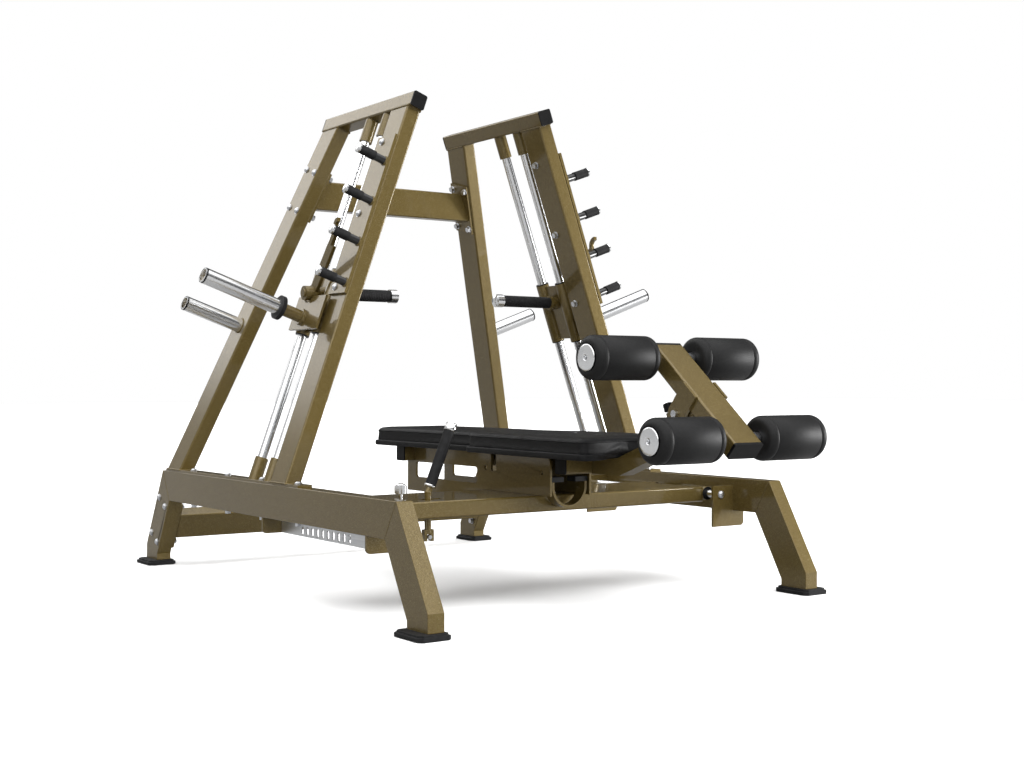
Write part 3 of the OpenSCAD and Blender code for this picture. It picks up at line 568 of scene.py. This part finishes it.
def inflate(obj, pressure, most, pinned_below):
    """Cloth under pressure, held at its foot. No point moves further than most."""
    group = obj.vertex_groups.new(name="held")
    rest = [v.co.copy() for v in obj.data.vertices]
    group.add([i for i, p in enumerate(rest) if p.z < pinned_below], 1.0, "REPLACE")
    cloth = obj.modifiers.new("cloth", "CLOTH")
    settings = cloth.settings
    settings.use_pressure = True
    settings.uniform_pressure_force = pressure
    settings.vertex_group_mass = group.name
    settings.effector_weights.gravity = 0
    settings.quality = 5
    settings.tension_stiffness = settings.compression_stiffness = 25
    settings.mass = 0.3
    for number in range(1, 21):
        scene.frame_set(number)
    graph = bpy.context.evaluated_depsgraph_get()
    moved = [v.co.copy() for v in obj.evaluated_get(graph).data.vertices]
    obj.modifiers.clear()
    obj.vertex_groups.clear()
    for vertex, start, end in zip(obj.data.vertices, rest, moved):
        shift = end - start
        if shift.length > most:
            shift *= most / shift.length
        vertex.co = start + shift
    scene.frame_set(1)


def make_pad():
    low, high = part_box("bench_pad")
    swell = 0.004
    foot, top = low.z, high.z - swell
    side, rounding = 0.0045, 0.007
    levels = [(side + 0.002, foot), (side, foot + 0.003), (side, foot + 0.020), (side, top - rounding)]
    for a in (math.radians(15 * k) for k in range(1, 7)):
        levels.append((side + rounding * (1 - math.cos(a)), top - rounding + rounding * math.sin(a)))
    obj = bpy.data.objects.new("pad_cushion", pad_shell("pad_cushion", levels, CUSHION_SCOOP))
    scene.collection.objects.link(obj)
    remesh = obj.modifiers.new("remesh", "REMESH")
    remesh.mode = "VOXEL"
    remesh.voxel_size = 0.006
    apply_modifiers(obj)
    inflate(obj, 4.0, swell, foot + 0.008)
    smooth = obj.modifiers.new("smooth", "SMOOTH")
    smooth.factor = 0.5
    smooth.iterations = 3
    apply_modifiers(obj)
    obj.data.polygons.foreach_set("use_smooth", [True] * len(obj.data.polygons))
    surface = BVHTree.FromObject(obj, bpy.context.evaluated_depsgraph_get())
    obj.modifiers.new("subdivision", "SUBSURF").levels = 1
    obj.modifiers["subdivision"].render_levels = 1
    obj.data.materials.clear()
    obj.data.materials.append(MATERIALS["pad_vinyl"])
    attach(obj, "bench")
    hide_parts("bench_pad")
    make_pad_piping(surface, high.z)
    make_pad_base()


def make_pad_piping(surface, top):
    """Piping sewn around the cushion, just under the edge of its top."""
    path = []
    for p in pad_outline(-0.004, CUSHION_SCOOP, 620):
        near, normal, _, _ = surface.find_nearest(Vector((p.x, p.y, top - 0.0115)))
        path.append(near + normal * 0.0003)
    add_object("pad_piping", tube_mesh("pad_piping", path, 0.0019), "pad_vinyl", "bench")


def make_pad_base():
    """The board under the cushion, wrapped in the same cover, with the staples that hold it."""
    low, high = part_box("bench_board")
    foot, top = low.z, high.z + 0.006
    levels = [(0.0040, foot), (0.0012, foot + 0.0008), (0.0003, foot + 0.003), (0.0, foot + 0.006),
              (0.0, top - 0.005), (0.0006, top - 0.0018), (0.0020, top - 0.0004), (0.0048, top)]
    obj = add_object("pad_base", pad_shell("pad_base", levels, BASE_SCOOP), "pad_vinyl", "bench")
    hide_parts("bench_board")
    staples = [staple(p, q, foot) for p, q in pairs(pad_outline(0.022, BASE_SCOOP, 110))]
    add_object("pad_staples", join_meshes("pad_staples", staples), "bolt_steel", "bench")


def pairs(points):
    return list(zip(points, points[1:]))


def staple(p, q, height):
    """A staple's back, a small bar across the edge, just under the board."""
    along = (q - p).normalized()
    across = Vector((-along.y, along.x, 0)) * 0.005
    along = along * 0.0006
    low, high = Vector((0, 0, height - 0.0007)), Vector((0, 0, height + 0.0005))
    corners = [p + across * a + along * c + z for z in (low, high)
               for a, c in ((-1, -1), (1, -1), (1, 1), (-1, 1))]
    faces = [(0, 1, 2, 3), (4, 5, 6, 7), (0, 1, 5, 4), (1, 2, 6, 5), (2, 3, 7, 6), (3, 0, 4, 7)]
    return [tuple(c) for c in corners], faces


# ---------- foam rollers ----------

ROLLERS = ("upper_left_roller", "upper_right_roller", "lower_left_roller", "lower_right_roller")
DISC_R = 0.036


def quarter(centre, radius_at, r, start, end, steps=8):
    """(along, radius) points of an arc around (centre, radius_at), angles in degrees from the axis."""
    return [(centre + r * math.cos(a), radius_at + r * math.sin(a))
            for a in (math.radians(start + (end - start) * k / steps) for k in range(steps + 1))]


def roller_profile(length, radius):
    """(along, radius) from the inner end to the outer end, with a moulded crease near each end."""
    inner_round, outer_round, crease, bore = 0.019, 0.022, 0.0014, 0.0135
    profile = [(0.0012, bore), (0.0, bore + 0.0025)]
    profile += quarter(inner_round, radius - inner_round, inner_round, 180, 90)
    for place in (inner_round + 0.006, length - outer_round - 0.008):
        profile += [(place - 0.0026, radius), (place - 0.0011, radius - crease * 0.75),
                    (place, radius - crease),
                    (place + 0.0011, radius - crease * 0.75), (place + 0.0026, radius)]
    profile += quarter(length - outer_round, radius - outer_round, outer_round, 90, 8)
    face = DISC_R + 0.0012
    profile += [(length - 0.0006, face + 0.0018), (length - 0.0022, face + 0.0008),
                (length - 0.0030, face - 0.003), (length - 0.0030, bore)]
    return profile


def roller_end(name):
    """Inner and outer end of a roller's axis, its outward direction, its length and its radius."""
    low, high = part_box(name)
    side = -1 if "left" in name else 1
    y, z = (low.y + high.y) / 2, (low.z + high.z) / 2
    ends = [Vector((x, y, z)) for x in (low.x, high.x)][::side]
    return ends[0], ends[1], Vector((side, 0, 0)), high.x - low.x, (high.z - low.z) / 2


def make_rollers():
    for name in ROLLERS:
        inner, _, outwards, length, radius = roller_end(name)
        mesh = mesh_of(name + "_foam", *lathe(roller_profile(length, radius), inner, outwards, 96))
        obj = add_object(name + "_foam", mesh, "roller_foam", name)
        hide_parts(name)


def make_roller_discs():
    """Chrome discs that keep the rollers on, a little domed, each with a socket screw."""
    discs, screws = [], []
    rim = [(0.0, 0.0045), (0.0, DISC_R - 0.001), (0.0012, DISC_R), (0.0032, DISC_R),
           (0.0045, DISC_R - 0.0012)]
    dome = [(0.0045 + 0.0022 * (1 - (r / DISC_R) ** 2), r) for r in (0.031, 0.026, 0.020, 0.014, 0.0085)]
    dish = [(0.0058, 0.0072), (0.0052, 0.0066), (0.0050, 0.0045)]
    head = [(0.004, 0.001), (0.004, 0.0052), (0.0072, 0.0052), (0.0079, 0.0045), (0.0079, 0.0030),
            (0.0058, 0.0028), (0.0058, 0.0006)]
    for name in ROLLERS:
        _, outer, outwards, _, _ = roller_end(name)
        discs.append(lathe(rim + dome + dish, outer - outwards * 0.0006, outwards, 64))
        screws.append(lathe(head, outer, outwards, 24))
    obj = add_object("roller_discs", join_meshes("roller_discs", discs, smooth=True), "chrome", "roller_arm")
    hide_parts("roller_end_discs")
    add_object("roller_disc_screws", join_meshes("roller_disc_screws", screws, smooth=True),
               "bolt_steel", "roller_arm")


# ---------- small details ----------

# Where the CAD has the lever's elbow, the posts and what is welded to them
LEVER_ELBOW = Vector((-0.422, -0.308, 0.334))
LEVER_LEAN = math.radians(22.5)
TILT = math.tan(math.radians(16))
REAR_POST_Y = 0.925
POST_WIDTH = 0.050
POST_HALF = 0.054
REAR_HALF = POST_HALF / math.cos(math.atan(TILT))
POST_TOP = 1.255
HORN_AT = 0.555
FRONT_POST_Y = 0.095
PEG_Y = 0.057
PEGS_AT = [0.647 + 0.137 * k for k in range(4)]


def outwards_of(side):
    """The direction straight out of a leaning frame's outer face."""
    return (leaning(side, -1, 0, 0) - leaning(side, 0, 0, 0)).normalized()


def horn_point(side, depth):
    """A point on the axis of a storage horn, which stands on the tilted rear post."""
    tilt = math.atan(TILT)
    return leaning(side, depth, REAR_POST_Y - HORN_AT * math.sin(tilt), HORN_AT * math.cos(tilt))


def make_lever_trim():
    """Chrome cap and collar at the ends of the lever's rubber grip."""
    along = Vector((math.sin(LEVER_LEAN), 0, math.cos(LEVER_LEAN)))
    cap = [(0.1925, 0.0102), (0.1925, 0.0166), (0.1940, 0.0174), (0.2120, 0.0174)]
    cap += quarter(0.2120, 0.0114, 0.006, 90, 10, 5) + [(0.2186, 0.006), (0.2186, 0.0004), (0.2060, 0.0004)]
    ring = [(0.0165, 0.0102), (0.0165, 0.0165), (0.0178, 0.0178), (0.0222, 0.0178), (0.0235, 0.0165),
            (0.0235, 0.0102)]
    parts = [lathe(profile, LEVER_ELBOW, along) for profile in (cap, ring)]
    add_object("lever_trim", join_meshes("lever_trim", parts, smooth=True), "chrome", "lock_lever")


def make_grip_ribs():
    """Raised moulded rings along each rubber grip, which shows as a fine ribbed texture."""
    for side in SIDES:
        name = SIDE_NAMES[side] + "_handle_grip"
        low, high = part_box(name)
        centre = Vector((low.x, (low.y + high.y) / 2, (low.z + high.z) / 2))
        radius = (high.z - low.z) / 2
        count = round((high.x - low.x - 0.016) / 0.0062)
        profile = [(0.003, radius - 0.003)]
        for k in range(count):
            start = 0.008 + k * 0.0062
            profile += [(start, radius + 0.0001), (start + 0.0012, radius + 0.0010),
                        (start + 0.0032, radius + 0.0010), (start + 0.0044, radius + 0.0001)]
        profile += [(high.x - low.x - 0.003, radius - 0.003)]
        obj = add_object(name + "_ribs", mesh_of(name + "_ribs", *lathe(profile, centre, (1, 0, 0))),
                         "black_rubber", SIDE_NAMES[side] + "_handle")
        obj.data.shade_smooth()


def make_sleeve_rims():
    """Black rim rings on the open ends of the loading sleeves and storage horns, and the horns' plugs."""
    rim = [(-0.006, 0.0247), (-0.006, 0.0251), (-0.0008, 0.0251), (0.0001, 0.0245), (0.0001, 0.0212),
           (-0.0012, 0.0203), (-0.006, 0.0203)]
    plug = [(-0.020, 0.0199), (-0.016, 0.0199), (-0.014, 0.0185), (-0.014, 0.0008), (-0.020, 0.0008)]
    horns, plugs = [], []
    for side in SIDES:
        outwards = outwards_of(side)
        sleeve_end = leaning(side, -0.375, 0.254, 0.535)
        horn_end = horn_point(side, -0.215)
        add_object(SIDE_NAMES[side] + "_sleeve_rim",
                   mesh_of("sleeve_rim", *lathe(rim, sleeve_end, outwards)), "black_plastic",
                   SIDE_NAMES[side] + "_carriage")
        horns.append(lathe(rim, horn_end, outwards))
        plugs.append(lathe(plug, horn_end, outwards))
    add_object("horn_rims", join_meshes("horn_rims", horns, smooth=True), "black_plastic", "frame")
    add_object("horn_plugs", join_meshes("horn_plugs", plugs, smooth=True), "frame_paint", "frame")


def weld(corners):
    """A rippled weld bead along a closed line."""
    length = sum((b - a).length for a, b in zip(corners, corners[1:] + corners[:1]))
    return tube(resample(corners, round(length / 0.0013)), 0.0026, 6, ripple=0.28)


def circle_around(centre, axis, radius):
    side = axis.orthogonal().normalized()
    other = axis.cross(side)
    return [centre + (side * math.cos(a) + other * math.sin(a)) * radius
            for a in (math.tau * k / 32 for k in range(32))]


def post_loop(side, middle, half, height=None, tilt=0.0):
    """Where a post's walls meet the flange, or with a height the top tube, as a closed line."""
    corners = []
    for depth, end in ((0, -1), (POST_WIDTH, -1), (POST_WIDTH, 1), (0, 1)):
        up = depth * math.tan(LEAN) if height is None else height
        corners.append(leaning(side, depth, middle - up * tilt + end * half, up))
    return corners


def make_welds():
    """Beads around the feet and tops of the posts, the pegs and the storage horns."""
    beads = []
    for side in SIDES:
        for height in (None, POST_TOP):
            beads.append(weld(post_loop(side, FRONT_POST_Y, POST_HALF, height)))
            beads.append(weld(post_loop(side, REAR_POST_Y, REAR_HALF, height, TILT)))
        for height in PEGS_AT:
            foot = leaning(side, -PEG_PLATE - 0.0005, PEG_Y, height)
            beads.append(weld(circle_around(foot, outwards_of(side), 0.0135)))
        beads.append(weld(circle_around(horn_point(side, -0.0005), outwards_of(side), 0.0255)))
    add_object("frame_welds", join_meshes("frame_welds", beads, smooth=True), "frame_paint", "frame")


# ---------- edges of the steel parts ----------

# Width of the rounding of each CAD part's edges
EDGES = {"base_rails": 0.002, "front_legs": 0.002, "rear_legs": 0.0035, "bench_frame": 0.003,
         "base_flanges": 0.0008, "peg_plates": 0.0012, "slide_brackets": 0.001, "slotted_plate": 0.0006,
         "bench_side_plates": 0.001, "bench_carriage": 0.001, "bench_cradle": 0.001,
         "left_carriage": 0.001, "right_carriage": 0.001,
         "left_hook_handle": 0.001, "right_hook_handle": 0.001,
         "rubber_feet": 0.0015, "cradle_bumpers": 0.0015, "leg_post": 0.001}


def soften_edges():
    """Rounds the sharp edges of the steel plates and tubes a little, as folding and grinding leave them."""
    for name, width in EDGES.items():
        obj = nodes[name]
        obj.modifiers.new("weld", "WELD").merge_threshold = 0.00002
        bevel = obj.modifiers.new("bevel", "BEVEL")
        bevel.width = width
        bevel.segments = 3 if width > 0.002 else 2
        bevel.limit_method = "ANGLE"
        bevel.angle_limit = math.radians(40)
        bevel.use_clamp_overlap = True
        bevel.harden_normals = True


make_studio()
paint_cad_nodes()
make_pad()
make_rollers()
make_roller_discs()
make_lever_trim()
make_grip_ribs()
make_sleeve_rims()
make_welds()
soften_edges()
